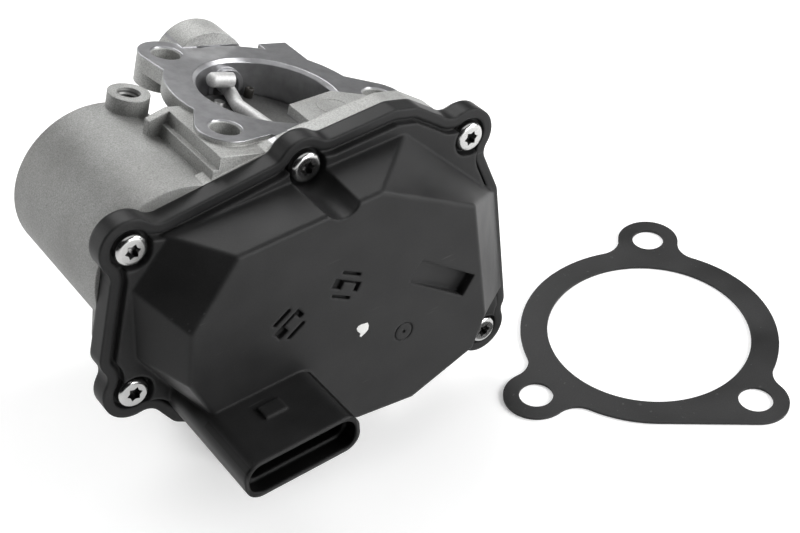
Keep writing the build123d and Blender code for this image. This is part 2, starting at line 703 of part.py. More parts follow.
# Sector gear on the flap shaft
sector_pitch = 360 / sector_teeth
sector_first = -round(sector_margin / sector_pitch)
sector_count = math.ceil((flap_travel + 2 * sector_margin) / sector_pitch)
with BuildPart() as output_gear:
    with BuildSketch(front(gear_back)):
        with Locations(sector_axis):
            Polygon((0, 0), *gear_points(sector_teeth, train_module, sector_phase, sector_first, sector_count),
                    align=None)
    extrude(amount=gear_thick)
    with BuildSketch(front(hub_back)):
        with Locations(sector_axis):
            Circle(hub_radius)
    extrude(amount=hub_back - hub_front)
    with BuildSketch(front(hub_back)):
        with Locations(sector_axis):
            Circle(flap_rod_radius)
    extrude(amount=hub_back - hub_front, mode=Mode.SUBTRACT)
save(output_gear, "output_gear")

# Magnet cup on the front end of the shaft, and the sensor board it faces
with BuildPart() as sensor_magnet:
    with BuildSketch(front(shaft_front + magnet_skirt)):
        with Locations(sector_axis):
            Circle(magnet_radius)
    extrude(amount=shaft_front + magnet_skirt - magnet_front_y)
    with BuildSketch(front(shaft_front + magnet_skirt)):
        with Locations(sector_axis):
            Circle(flap_rod_radius)
    extrude(amount=magnet_skirt, mode=Mode.SUBTRACT)
save(sensor_magnet, "sensor_magnet")
with BuildPart() as sensor_board:
    with BuildSketch(front(face_inner + board_thick)):
        Polygon(*board_outline, align=None)
    extrude(amount=board_thick)
    with BuildSketch(front(face_inner + board_thick + chip_thick)):
        with Locations((flap_x, flap_z - chip_size / 2)):
            Rectangle(chip_size, chip_size)
    extrude(amount=chip_thick)
save(sensor_board, "sensor_board")

# Idler on its stub axle
idler_axle_back = pocket_floor + idler_axle_depth
with BuildPart() as idler_gear:
    with BuildSketch(front(gear_back)):
        with Locations(idler_axis):
            Polygon(*gear_points(idler_teeth, train_module, idler_phase), align=None)
            with PolarLocations(idler_hole_reach, 5):
                Circle(idler_hole_radius, mode=Mode.SUBTRACT)
            Circle(axle_radius + bearing_gap, mode=Mode.SUBTRACT)
    extrude(amount=gear_thick)
save(idler_gear, "idler_gear")
save(round_bar(idler_axis, axle_radius, idler_axle_front, idler_axle_back), "idler_axle")
save(round_bar(idler_axis, clip_radius, clip_front, clip_back, axle_radius), "idler_clip")

# Double reduction gear on its axle
with BuildPart() as reduction_gear:
    with BuildSketch(front(wheel_back)):
        with Locations(wheel_axis):
            Polygon(*gear_points(wheel_teeth, drive_module, wheel_phase), align=None)
            with PolarLocations(wheel_hole_reach, 6):
                Circle(wheel_hole_radius, mode=Mode.SUBTRACT)
    extrude(amount=wheel_thick)
    with BuildSketch(front(gear_back)):
        with Locations(wheel_axis):
            Polygon(*gear_points(small_teeth, train_module, small_phase), align=None)
    extrude(amount=gear_back - wheel_back)
    with BuildSketch(front(gear_back)):
        with Locations(wheel_axis):
            Circle(axle_radius + bearing_gap)
    extrude(amount=gear_back - wheel_back + wheel_thick, mode=Mode.SUBTRACT)
save(reduction_gear, "reduction_gear")
save(round_bar(wheel_axis, axle_radius, face_inner, pocket_floor + wheel_axle_depth), "wheel_axle")

# Motor: can, magnets, end cap with its brush holders, brushes, screws and preload washer
can_inner = motor_radius - can_wall
spindle_hole = spindle_radius + bearing_gap
with BuildPart() as motor_can:
    with BuildSketch(front(can_back)):
        with Locations(motor_axis):
            Circle(motor_radius)
    extrude(amount=can_back - can_front)
    with BuildSketch(front(can_front)):
        with Locations(motor_axis):
            Circle(can_inner)
    extrude(amount=can_front - can_back + can_wall, mode=Mode.SUBTRACT)
    with BuildSketch(front(can_back)):
        with Locations(motor_axis):
            Circle(spindle_hole)
    extrude(amount=can_wall, mode=Mode.SUBTRACT)
save(motor_can, "motor_can")
with BuildPart() as motor_magnets:
    with BuildSketch(front(magnet_back)):
        with Locations(motor_axis):
            Circle(can_inner)
            Circle(magnet_inner, mode=Mode.SUBTRACT)
            Rectangle(3 * motor_radius, magnet_gap, mode=Mode.SUBTRACT)
    extrude(amount=magnet_back - magnet_front)
save(motor_magnets, "motor_magnets")
brush_sides = [(motor_x - brush_outer / 2, motor_z), (motor_x + brush_outer / 2, motor_z)]
with BuildPart() as motor_brushes:
    with BuildSketch(front(brush_back)):
        with Locations(*brush_sides):
            Rectangle(brush_outer, brush_height)
        with Locations(motor_axis):
            Circle(commutator_radius + bearing_gap, mode=Mode.SUBTRACT)
    extrude(amount=brush_back - brush_front)
save(motor_brushes, "motor_brushes")
holder_middle = (holder_inner + holder_outer) / 2
with BuildPart() as motor_end_cap:
    with BuildSketch(front(can_front)):
        with Locations(motor_axis):
            Circle(motor_radius)
    extrude(amount=can_front - cap_front)
    with BuildSketch(front(pocket_floor)):
        with Locations(*ear_screws):
            Circle(ear_radius)
        with Locations(motor_axis):
            Circle(cap_core_radius)
        make_hull()
    extrude(amount=pocket_floor - ear_front)
    with BuildSketch(front(brush_back + holder_wall)):
        with Locations((motor_x - holder_middle, motor_z), (motor_x + holder_middle, motor_z)):
            Rectangle(holder_outer - holder_inner, brush_height + 2 * holder_wall)
    extrude(amount=brush_back + holder_wall - can_front)
    with BuildSketch(front(brush_back)):
        with Locations(*brush_sides):
            Rectangle(brush_outer, brush_height)
    extrude(amount=brush_back - brush_front, mode=Mode.SUBTRACT)
    with BuildSketch(front(can_front)):
        with Locations(motor_axis):
            Circle(spindle_hole)
        with Locations(*ear_screws):
            Circle(ear_screw_radius)
    extrude(amount=can_front - cap_front, mode=Mode.SUBTRACT)
save(motor_end_cap, "motor_end_cap")
with BuildPart() as motor_screws:
    with BuildSketch(front(ear_front)):
        with Locations(*ear_screws):
            Circle(ear_head_radius)
    extrude(amount=ear_head_height)
    with BuildSketch(front(ear_front)):
        with Locations(*ear_screws):
            Circle(ear_screw_radius)
    extrude(amount=-ear_screw_length)
save(motor_screws, "motor_screws")
save(round_bar(motor_axis, washer_radius, can_back, barrel_end - barrel_floor, washer_hole), "preload_washer")

# Rotor: spindle, laminated stack, commutator and pinion
save(round_bar(motor_axis, spindle_radius, spindle_front, spindle_back), "motor_shaft")
with BuildPart() as motor_armature:
    with BuildSketch(front(armature_back)):
        with Locations(motor_axis):
            Circle(armature_radius)
            with PolarLocations((slot_floor + armature_radius) / 2 + 1, armature_slots):
                Rectangle(armature_radius - slot_floor + 2, slot_width, mode=Mode.SUBTRACT)
            Circle(spindle_radius, mode=Mode.SUBTRACT)
    extrude(amount=armature_back - armature_front)
save(motor_armature, "motor_armature")
with BuildPart() as commutator:
    with BuildSketch(front(commutator_back)):
        with Locations(motor_axis):
            Circle(commutator_radius)
            Circle(spindle_radius, mode=Mode.SUBTRACT)
    extrude(amount=commutator_back - commutator_front)
save(commutator, "commutator")
with BuildPart() as motor_pinion:
    with BuildSketch(front(pinion_back)):
        with Locations(motor_axis):
            Polygon(*gear_points(pinion_teeth, drive_module, pinion_phase), align=None)
            Circle(spindle_radius, mode=Mode.SUBTRACT)
    extrude(amount=pinion_thick)
save(motor_pinion, "motor_pinion")

# Loose gasket of the pipe
gasket_holes = [(gasket_centre[0] + reach * math.cos(math.radians(angle)),
                 gasket_centre[1] + reach * math.sin(math.radians(angle))) for reach, angle in gasket_bolts]
half_spread = math.degrees(math.acos((gasket_ring - gasket_lug_radius) / gasket_bolts[2][0]))
web_angle = math.radians(gasket_bolts[2][1] - half_spread)
web_edge = [(centre[0] + radius * math.cos(web_angle), centre[1] + radius * math.sin(web_angle))
            for centre, radius in ((gasket_centre, gasket_ring), (gasket_holes[2], gasket_lug_radius))]
with BuildPart() as pipe_gasket:
    with BuildSketch(Plane.XY) as gasket_form:
        with Locations(gasket_centre):
            Circle(gasket_ring)
        with Locations(*gasket_holes):
            Circle(gasket_lug_radius)
        Polygon(gasket_centre, *web_edge, gasket_holes[2], align=None)
        corners = [vertex for vertex in gasket_form.vertices()
                   if abs(math.dist((vertex.X, vertex.Y), gasket_centre) - gasket_ring) < 0.001
                   and any(abs(math.dist((vertex.X, vertex.Y), hole) - gasket_lug_radius) < 0.001
                           for hole in gasket_holes)]
        fillet(corners, radius=gasket_blend)
        with Locations(gasket_centre):
            Circle(gasket_opening, mode=Mode.SUBTRACT)
        with Locations(*gasket_holes):
            Circle(gasket_bolt_radius, mode=Mode.SUBTRACT)
    extrude(amount=gasket_thick)
save(pipe_gasket, "pipe_gasket")
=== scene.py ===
import math

import bmesh
import bpy
import numpy as np
from mathutils import Matrix, Vector


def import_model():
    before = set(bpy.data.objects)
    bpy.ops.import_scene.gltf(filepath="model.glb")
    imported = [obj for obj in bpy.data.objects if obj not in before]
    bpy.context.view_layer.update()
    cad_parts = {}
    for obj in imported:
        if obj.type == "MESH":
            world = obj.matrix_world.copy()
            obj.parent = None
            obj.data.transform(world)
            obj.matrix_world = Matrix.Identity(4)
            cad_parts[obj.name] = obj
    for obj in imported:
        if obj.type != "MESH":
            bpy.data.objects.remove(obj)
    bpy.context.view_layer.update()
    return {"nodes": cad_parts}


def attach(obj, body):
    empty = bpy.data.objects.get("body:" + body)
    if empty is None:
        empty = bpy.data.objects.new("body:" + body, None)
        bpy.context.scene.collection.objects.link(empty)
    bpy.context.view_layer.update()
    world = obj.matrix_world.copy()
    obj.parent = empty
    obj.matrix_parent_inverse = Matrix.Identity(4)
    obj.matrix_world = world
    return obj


# Everything is in metres, in the frame of the CAD model
mm = 0.001
fullTurn = 2 * math.pi

# The outlet flange's plane, on which the camera was solved
outlet = {"tilt": math.radians(17.5), "centre": (15.035 * mm, 0.0, 108.0 * mm)}


# Small helpers for shader nodes
def newPaint(name):
    paint = bpy.data.materials.new(name)
    paint.use_nodes = True
    return paint, paint.node_tree, paint.node_tree.nodes["Principled BSDF"]


def setSocket(tree, socket, value):
    # another node's output is linked in, a plain value is set
    if isinstance(value, bpy.types.NodeSocket):
        tree.links.new(value, socket)
    else:
        socket.default_value = value


def addMath(tree, operation, *values):
    node = tree.nodes.new("ShaderNodeMath")
    node.operation = operation
    for socket, value in zip(node.inputs, values):
        setSocket(tree, socket, value)
    return node.outputs[0]


def addRange(tree, value, low, high, outLow=0.0, outHigh=1.0):
    # low to high becomes outLow to outHigh, and values past the ends are held
    node = tree.nodes.new("ShaderNodeMapRange")
    for label, number in (("Value", value), ("From Min", low), ("From Max", high),
                          ("To Min", outLow), ("To Max", outHigh)):
        setSocket(tree, node.inputs[label], number)
    return node.outputs["Result"]


def addClamp(tree, value):
    node = tree.nodes.new("ShaderNodeClamp")
    setSocket(tree, node.inputs["Value"], value)
    return node.outputs[0]


def addNoise(tree, vector, scale, detail, roughness):
    node = tree.nodes.new("ShaderNodeTexNoise")
    for label, value in (("Vector", vector), ("Scale", scale), ("Detail", detail),
                         ("Roughness", roughness)):
        setSocket(tree, node.inputs[label], value)
    return node.outputs["Fac"]


def addBlend(tree, mask, base, tint):
    # colours: base where mask is 0, tint where it is 1
    node = tree.nodes.new("ShaderNodeMix")
    node.data_type = "RGBA"
    for socket, value in ((0, mask), (6, base), (7, tint)):
        plain = (*value, 1.0) if isinstance(value, tuple) else value
        setSocket(tree, node.inputs[socket], plain)
    return node.outputs[2]


def addGain(tree, colour, gain):
    node = tree.nodes.new("ShaderNodeVectorMath")
    node.operation = "SCALE"
    setSocket(tree, node.inputs[0], colour)
    setSocket(tree, node.inputs["Scale"], gain)
    return node.outputs["Vector"]


def addAxes(tree, vector):
    node = tree.nodes.new("ShaderNodeSeparateXYZ")
    setSocket(tree, node.inputs["Vector"], vector)
    return node.outputs["X"], node.outputs["Y"], node.outputs["Z"]


def addPlace(tree):
    return tree.nodes.new("ShaderNodeTexCoord").outputs["Object"]


def sourceOf(socket):
    return socket.links[0].from_socket


# Camera at the photograph's viewing angle
camera = {
    "position": (-163.3 * mm, -330.4 * mm, 345.5 * mm),
    "right": (0.8136, -0.5805, -0.0340),
    "up": (0.3902, 0.5017, 0.7721),
    "lens": 67.5,
    "sensorWidth": 36.0,
    "nearest": 0.01,
    "farthest": 20.0,
}


def setCamera():
    right = Vector(camera["right"]).normalized()
    up = Vector(camera["up"])
    up = (up - right * up.dot(right)).normalized()
    back = right.cross(up)
    data = bpy.data.cameras.new("photoCamera")
    data.lens = camera["lens"]
    data.sensor_width = camera["sensorWidth"]
    data.clip_start = camera["nearest"]
    data.clip_end = camera["farthest"]
    eye = bpy.data.objects.new("photoCamera", data)
    bpy.context.scene.collection.objects.link(eye)
    turn = Matrix((right, up, back)).transposed().to_4x4()
    eye.matrix_world = Matrix.Translation(camera["position"]) @ turn
    bpy.context.scene.camera = eye


# Studio: white light table, soft boxes and a dim room. Each light has a name, place, target,
# size and power
studio = {
    "floorZ": -0.05 * mm,
    "floorColour": (0.9, 0.9, 0.9, 1.0),
    "floorRoughness": 0.9,
    "floorSpecular": 0.2,
    "floorSide": 14.0,
    "floorGlow": (0.3, 1.0),
    "floorGlowReach": (0.5, 1.8),
    "roomColour": (1.0, 1.0, 1.0, 1.0),
    "roomStrength": 0.01,
    "backdrop": 1.0,
    "lights": (
        ("topBox", (0.2, 0.1, 1.5), (0.0, 0.0, 0.05), 1.8, 9.5),
        ("backLeftBox", (-0.8, 1.0, 0.5), (0.0, 0.0, 0.06), 0.9, 6.2),
        ("backTopBox", (0.35, 0.95, 1.0), (0.0, 0.0, 0.06), 0.9, 11.0),
        ("frontBox", (0.5, -1.1, 0.4), (0.0, 0.0, 0.06), 0.6, 10.8),
        ("rightBox", (1.0, -0.5, 0.6), (0.0, 0.0, 0.06), 0.6, 11.0),
    ),
}


def makeFloorPaint():
    # the light table glows more with distance, so that it meets the backdrop in white
    paint, tree, shader = newPaint("studioFloor")
    shader.inputs["Base Color"].default_value = studio["floorColour"]
    shader.inputs["Roughness"].default_value = studio["floorRoughness"]
    shader.inputs["Specular IOR Level"].default_value = studio["floorSpecular"]
    shader.inputs["Emission Color"].default_value = studio["floorColour"]
    reach = tree.nodes.new("ShaderNodeVectorMath")
    reach.operation = "LENGTH"
    tree.links.new(addPlace(tree), reach.inputs[0])
    glow = addRange(tree, reach.outputs["Value"], *studio["floorGlowReach"], *studio["floorGlow"])
    tree.links.new(glow, shader.inputs["Emission Strength"])
    return paint


def setFloor():
    side, level = studio["floorSide"], studio["floorZ"]
    corners = [(x * side, y * side, level) for x, y in ((-1, -1), (1, -1), (1, 1), (-1, 1))]
    mesh = bpy.data.meshes.new("studioFloor")
    mesh.from_pydata(corners, [], [(0, 1, 2, 3)])
    mesh.materials.append(makeFloorPaint())
    floor = bpy.data.objects.new("studioFloor", mesh)
    bpy.context.scene.collection.objects.link(floor)


def setRoom():
    # a white backdrop that adds almost no light: strength = backdrop where it is seen
    # straight on, else the room's
    world = bpy.data.worlds.new("studioRoom")
    world.use_nodes = True
    tree = world.node_tree
    room = tree.nodes["Background"]
    room.inputs["Color"].default_value = studio["roomColour"]
    seen = tree.nodes.new("ShaderNodeLightPath").outputs["Is Camera Ray"]
    level = addRange(tree, seen, 0.0, 1.0, studio["roomStrength"], studio["backdrop"])
    tree.links.new(level, room.inputs["Strength"])
    bpy.context.scene.world = world


def setLights():
    for name, place, target, size, power in studio["lights"]:
        light = bpy.data.lights.new(name, "AREA")
        light.shape = "SQUARE"
        light.size = size
        light.energy = power
        lamp = bpy.data.objects.new(name, light)
        bpy.context.scene.collection.objects.link(lamp)
        aim = (Vector(target) - Vector(place)).to_track_quat("-Z", "Y").to_matrix().to_4x4()
        lamp.matrix_world = Matrix.Translation(place) @ aim


def setStudio():
    setFloor()
    setRoom()
    setLights()
    bpy.context.scene.view_settings.view_transform = "Standard"


# Shader node groups that several finishes share, by name
groups = {}


def newGroup(name, numbers, outputs):
    # every group reads a Vector and the numbers, and puts out the numbers named in outputs
    group = bpy.data.node_groups.new(name, "ShaderNodeTree")
    group.interface.new_socket("Vector", in_out="INPUT", socket_type="NodeSocketVector")
    for label, value in numbers.items():
        socket = group.interface.new_socket(label, in_out="INPUT", socket_type="NodeSocketFloat")
        socket.default_value = value
    for label in outputs:
        group.interface.new_socket(label, in_out="OUTPUT", socket_type="NodeSocketFloat")
    start = group.nodes.new("NodeGroupInput")
    end = group.nodes.new("NodeGroupOutput")
    return group, start.outputs, end.inputs


def placeGroup(tree, group, vector, **values):
    node = tree.nodes.new("ShaderNodeGroup")
    node.node_tree = groups[group]
    tree.links.new(vector, node.inputs["Vector"])
    for label, value in values.items():
        node.inputs[label].default_value = value
    return node.outputs


# Grain: detail and roughness of its fine and its broad noise
grainNoise = {"fine": (4.0, 0.6), "broad": (3.0, 0.5)}


def makeGrainGroup():
    # fine bumps plus broad blotches: height = fine noise, blotch = slow noise, both 0 to 1
    group, start, end = newGroup("surfaceGrain", {"Grain Scale": 1500.0, "Blotch Scale": 40.0},
                                 ("Height", "Blotch"))
    fine = addNoise(group, start["Vector"], start["Grain Scale"], *grainNoise["fine"])
    broad = addNoise(group, start["Vector"], start["Blotch Scale"], *grainNoise["broad"])
    group.links.new(fine, end["Height"])
    group.links.new(broad, end["Blotch"])
    return group


# Specks: detail and roughness of their noise, and how sharp their rims are
specks = {"noise": (2.0, 0.5), "sharpness": 20.0}


def makeSpeckGroup():
    # mask = (noise - level) x sharpness, held between 0 and 1
    group, start, end = newGroup("surfaceSpecks", {"Scale": 900.0, "Level": 0.68}, ("Mask",))
    noise = addNoise(group, start["Vector"], start["Scale"], *specks["noise"])
    over = addMath(group, "SUBTRACT", noise, start["Level"])
    mask = addClamp(group, addMath(group, "MULTIPLY", over, specks["sharpness"]))
    group.links.new(mask, end["Mask"])
    return group


# Hair scratches run two ways, and only in some areas
scratches = {"turns": ((0.3, 0.5, 0.9), (1.1, 0.2, 2.3)), "squeeze": (0.09, 1.0, 1.0),
             "noise": (1.0, 0.4), "sharpness": 14.0,
             "areaScale": 35.0, "areaNoise": (2.0, 0.5), "areaLevel": 0.5, "areaSharpness": 8.0}


def makeScratchGroup():
    # hair lines: noise squeezed hard along one direction, kept where it passes a level,
    # and only where a slow noise is high
    group, start, end = newGroup("hairScratches", {"Fineness": 900.0, "Level": 0.66}, ("Mask",))
    masks = []
    for turn in scratches["turns"]:
        squeeze = group.nodes.new("ShaderNodeMapping")
        squeeze.inputs["Rotation"].default_value = turn
        squeeze.inputs["Scale"].default_value = scratches["squeeze"]
        group.links.new(start["Vector"], squeeze.inputs["Vector"])
        hair = addNoise(group, squeeze.outputs["Vector"], start["Fineness"], *scratches["noise"])
        over = addMath(group, "SUBTRACT", hair, start["Level"])
        masks.append(addMath(group, "MULTIPLY", over, scratches["sharpness"]))
    hairs = addMath(group, "MAXIMUM", *masks)
    area = addNoise(group, start["Vector"], scratches["areaScale"], *scratches["areaNoise"])
    area = addMath(group, "SUBTRACT", area, scratches["areaLevel"])
    area = addMath(group, "MULTIPLY", area, scratches["areaSharpness"])
    mask = addMath(group, "MULTIPLY", addClamp(group, hairs), addClamp(group, area))
    group.links.new(mask, end["Mask"])
    return group


# What a finish has where its own dictionary doesn't say. Bump depth and edge are in mm
plainLook = {"metallic": 0.0, "specular": 0.5, "blotchScale": 60.0, "bump": 0.3, "bumpDepth": 0.05,
             "speckle": 0.0, "pits": 0.0, "pitScale": 700.0, "scratches": 0.0,
             "edge": 0.0, "edgeSamples": 6}
noiseSpan = (0.3, 0.7)  # nearly all of a noise's values lie in this range


def newFinish(name, ownLook):
    # one Principled shader: blotchy, speckled colour, pits and hair scratches, grain bump,
    # soft edges
    look = {**plainLook, **ownLook}
    paint, tree, shader = newPaint(name)
    shader.inputs["Metallic"].default_value = look["metallic"]
    shader.inputs["Specular IOR Level"].default_value = look["specular"]
    place = addPlace(tree)
    grain = placeGroup(tree, "grain", place, **{"Grain Scale": look["grainScale"],
                                                "Blotch Scale": look["blotchScale"]})
    blotch = addRange(tree, grain["Blotch"], *noiseSpan)
    base = addBlend(tree, blotch, look["dark"], look["light"])
    rough = addRange(tree, blotch, 0.0, 1.0, *look["rough"])
    if look["speckle"]:
        # the grain's tops are lighter than its hollows
        gain = addRange(tree, grain["Height"], *noiseSpan,
                        1.0 - look["speckle"], 1.0 + look["speckle"])
        base = addGain(tree, base, gain)
    if look["pits"]:
        pits = placeGroup(tree, "specks", place, Scale=look["pitScale"], Level=look["pits"])
        base = addBlend(tree, pits["Mask"], base, look["pitColour"])
    if look["scratches"]:
        hairs = placeGroup(tree, "scratches", place, Level=look["scratches"])
        base = addBlend(tree, hairs["Mask"], base, look["scratchColour"])
    tree.links.new(base, shader.inputs["Base Color"])
    tree.links.new(rough, shader.inputs["Roughness"])
    bump = tree.nodes.new("ShaderNodeBump")
    bump.inputs["Strength"].default_value = look["bump"]
    bump.inputs["Distance"].default_value = look["bumpDepth"] * mm
    tree.links.new(grain["Height"], bump.inputs["Height"])
    if look["edge"]:
        rounded = tree.nodes.new("ShaderNodeBevel")
        rounded.samples = look["edgeSamples"]
        rounded.inputs["Radius"].default_value = look["edge"] * mm
        tree.links.new(rounded.outputs["Normal"], bump.inputs["Normal"])
    tree.links.new(bump.outputs["Normal"], shader.inputs["Normal"])
    return paint, tree, shader, bump


finishes = {
    "coverPlastic": {
        "dark": (0.012, 0.012, 0.0122), "light": (0.0175, 0.0175, 0.0177), "rough": (0.4, 0.48),
        "specular": 0.16, "grainScale": 2200.0, "blotchScale": 70.0, "bump": 0.45,
        "bumpDepth": 0.04, "speckle": 0.14, "scratches": 0.74,
        "scratchColour": (0.034, 0.034, 0.034), "edge": 1.3},
    "blackRubber": {
        "dark": (0.012, 0.012, 0.012), "light": (0.02, 0.02, 0.02), "rough": (0.6, 0.7),
        "grainScale": 1800.0},
    "brightSteel": {
        "dark": (0.72, 0.72, 0.71), "light": (0.82, 0.82, 0.81), "rough": (0.2, 0.3),
        "metallic": 1.0, "grainScale": 1200.0, "bump": 0.08, "bumpDepth": 0.02},
    "dullSteel": {
        "dark": (0.36, 0.36, 0.36), "light": (0.48, 0.48, 0.47), "rough": (0.38, 0.5),
        "metallic": 0.9, "grainScale": 1500.0, "bump": 0.2},
    "flapSteel": {
        "dark": (0.12, 0.12, 0.118), "light": (0.2, 0.2, 0.195), "rough": (0.42, 0.56),
        "metallic": 0.8, "grainScale": 1500.0, "bump": 0.3, "speckle": 0.2, "edge": 0.2},
    "darkSteel": {
        "dark": (0.16, 0.16, 0.16), "light": (0.24, 0.24, 0.24), "rough": (0.35, 0.45),
        "metallic": 0.9, "grainScale": 1500.0},
    "greyBush": {
        "dark": (0.2, 0.2, 0.195), "light": (0.28, 0.28, 0.275), "rough": (0.45, 0.58),
        "metallic": 0.7, "grainScale": 1800.0, "speckle": 0.15},
    "rodGrey": {
        "dark": (0.52, 0.52, 0.515), "light": (0.66, 0.66, 0.655), "rough": (0.5, 0.62),
        "metallic": 0.4, "grainScale": 1600.0, "bump": 0.35, "speckle": 0.15, "edge": 0.3},
    "bronze": {
        "dark": (0.45, 0.3, 0.13), "light": (0.55, 0.38, 0.18), "rough": (0.35, 0.5),
        "metallic": 1.0, "grainScale": 1800.0},
    "copper": {
        "dark": (0.65, 0.33, 0.2), "light": (0.75, 0.42, 0.28), "rough": (0.25, 0.4),
        "metallic": 1.0, "grainScale": 1800.0},
    "tin": {
        "dark": (0.62, 0.6, 0.55), "light": (0.75, 0.73, 0.68), "rough": (0.2, 0.3),
        "metallic": 1.0, "grainScale": 1800.0},
    "gearPlastic": {
        "dark": (0.66, 0.63, 0.54), "light": (0.76, 0.73, 0.64), "rough": (0.35, 0.45),
        "grainScale": 1800.0, "bump": 0.1},
    "magnetGrey": {
        "dark": (0.1, 0.1, 0.105), "light": (0.16, 0.16, 0.165), "rough": (0.45, 0.6),
        "grainScale": 1200.0},
    "boardGreen": {
        "dark": (0.02, 0.13, 0.05), "light": (0.03, 0.18, 0.07), "rough": (0.3, 0.4),
        "grainScale": 1500.0, "bump": 0.1},
    "gasketBlack": {
        "dark": (0.009, 0.009, 0.009), "light": (0.026, 0.026, 0.0265), "rough": (0.42, 0.6),
        "specular": 0.3, "grainScale": 2400.0, "blotchScale": 32.0, "bump": 0.3, "speckle": 0.2,
        "pits": 0.7, "pitScale": 500.0, "pitColour": (0.045, 0.045, 0.045)},
    "screwSteel": {
        "dark": (0.4, 0.4, 0.4), "light": (0.52, 0.52, 0.51), "rough": (0.16, 0.28),
        "metallic": 1.0, "grainScale": 900.0, "bump": 0.12, "bumpDepth": 0.03},
    "whitePaint": {
        "dark": (0.5, 0.5, 0.49), "light": (0.62, 0.62, 0.61), "rough": (0.45, 0.6),
        "grainScale": 2000.0, "bump": 0.3},
    "darkCap": {
        "dark": (0.008, 0.007, 0.006), "light": (0.03, 0.026, 0.02), "rough": (0.45, 0.6),
        "grainScale": 1500.0},
}
nodeFinish = {
    "actuator_cover": "coverPlastic", "cover_seal": "blackRubber", "cover_screws": "screwSteel",
    "connector_pins": "tin", "shaft_seal": "blackRubber", "front_bush": "greyBush",
    "rear_bush": "greyBush", "rear_plug": "dullSteel", "return_spring": "darkSteel",
    "spring_collar": "darkSteel", "flap_shaft": "rodGrey", "flap_plate": "flapSteel",
    "flap_rivets": "dullSteel", "flap_cross_pin": "rodGrey", "output_gear": "gearPlastic",
    "sensor_magnet": "magnetGrey", "sensor_board": "boardGreen", "idler_gear": "gearPlastic",
    "idler_axle": "brightSteel", "idler_clip": "darkSteel", "reduction_gear": "gearPlastic",
    "wheel_axle": "brightSteel", "motor_can": "dullSteel", "motor_magnets": "magnetGrey",
    "motor_brushes": "magnetGrey", "motor_end_cap": "coverPlastic", "motor_screws": "darkSteel",
    "preload_washer": "darkSteel", "motor_shaft": "brightSteel", "motor_armature": "dullSteel",
    "commutator": "copper", "motor_pinion": "bronze", "pipe_gasket": "gasketBlack",
}

# Casting: blasted skin, machined where the outlet flange's face and bore were cut
casting = {
    "dark": (0.2, 0.2, 0.193), "light": (0.3, 0.302, 0.295), "rough": (0.5, 0.64),
    "metallic": 0.6, "grainScale": 2500.0, "blotchScale": 60.0, "bump": 0.9, "bumpDepth": 0.09,
    "speckle": 0.32, "pits": 0.74, "pitColour": (0.12, 0.12, 0.115), "edge": 0.5,
    "machinedDark": (0.3, 0.3, 0.31), "machinedLight": (0.4, 0.4, 0.412),
    "machinedRough": 0.32, "machinedMetal": 0.85, "machinedGrain": 0.12, "brushFineness": 260.0,
    "faceDepth": 0.35 * mm, "boreReach": 22.5 * mm, "boreTop": 0.3 * mm, "boreEnd": -42.0 * mm,
    "ringPitch": 0.35 * mm, "ringHeight": 0.035,
    "paleX": (-34.0 * mm, -20.0 * mm), "paleZ": (74.0 * mm, 96.0 * mm), "paleGain": 1.45,
}


def makeMachinedGroup():
    # masks in the outlet flange's own frame: 1 on its plane and inside the cut radius,
    # rings = a sine of the distance from the bore's axis
    group, start, end = newGroup(
        "machinedPlaces",
        {"Face Depth": casting["faceDepth"], "Bore Reach": casting["boreReach"],
         "Ring Pitch": casting["ringPitch"]},
        ("Mask", "Rings"))
    turn = group.nodes.new("ShaderNodeMapping")
    turn.vector_type = "TEXTURE"
    turn.inputs["Location"].default_value = outlet["centre"]
    turn.inputs["Rotation"].default_value = (0.0, outlet["tilt"], 0.0)
    group.links.new(start["Vector"], turn.inputs["Vector"])
    x, y, z = addAxes(group, turn.outputs["Vector"])
    square = addMath(group, "ADD", addMath(group, "MULTIPLY", x, x),
                     addMath(group, "MULTIPLY", y, y))
    reach = addMath(group, "SQRT", square)
    face = addMath(group, "LESS_THAN", addMath(group, "ABSOLUTE", z), start["Face Depth"])
    bore = addMath(group, "MULTIPLY", addMath(group, "GREATER_THAN", z, casting["boreEnd"]),
                   addMath(group, "LESS_THAN", z, casting["boreTop"]))
    inside = addMath(group, "LESS_THAN", reach, start["Bore Reach"])
    mask = addMath(group, "MAXIMUM", face, addMath(group, "MULTIPLY", inside, bore))
    turns = addMath(group, "DIVIDE", reach, start["Ring Pitch"])
    rings = addMath(group, "SINE", addMath(group, "MULTIPLY", turns, fullTurn))
    group.links.new(mask, end["Mask"])
    group.links.new(rings, end["Rings"])
    return group


